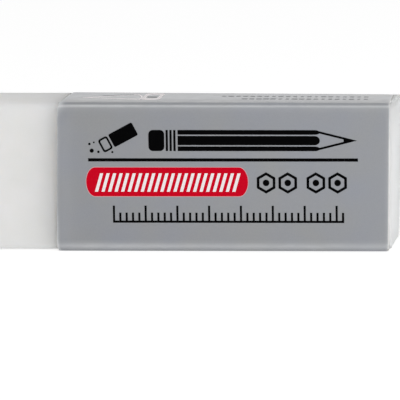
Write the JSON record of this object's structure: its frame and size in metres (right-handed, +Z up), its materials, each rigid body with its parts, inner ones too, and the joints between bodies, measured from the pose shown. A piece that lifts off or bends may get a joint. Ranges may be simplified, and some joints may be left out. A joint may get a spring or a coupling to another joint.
{
  "type": "rubber eraser",
  "caption": "White vinyl block for rubbing out pencil, held in an open-ended sleeve of folded grey card that slides along it.",
  "frame": {"origin": "middle of the base, on the surface that the sleeve's bottom narrow side stands on", "axes": "+X along the block towards the end that is nearly flush with the sleeve, -Y out of the printed front panel, +Z up"},
  "size_m": [0.065, 0.0138, 0.0235],
  "materials": {
    "vinyl": "matte",
    "card": "satin"
  },
  "bodies": {
    "sleeve": {"card_sleeve": "card"},
    "block": {"rubber_block": "vinyl"}
  },
  "joints": [
    {"name": "block_slide", "type": "slide", "parent": "sleeve", "child": "block", "axis": [1, 0, 0], "range_m": [-0.0523, 0.0647]}
  ]
}
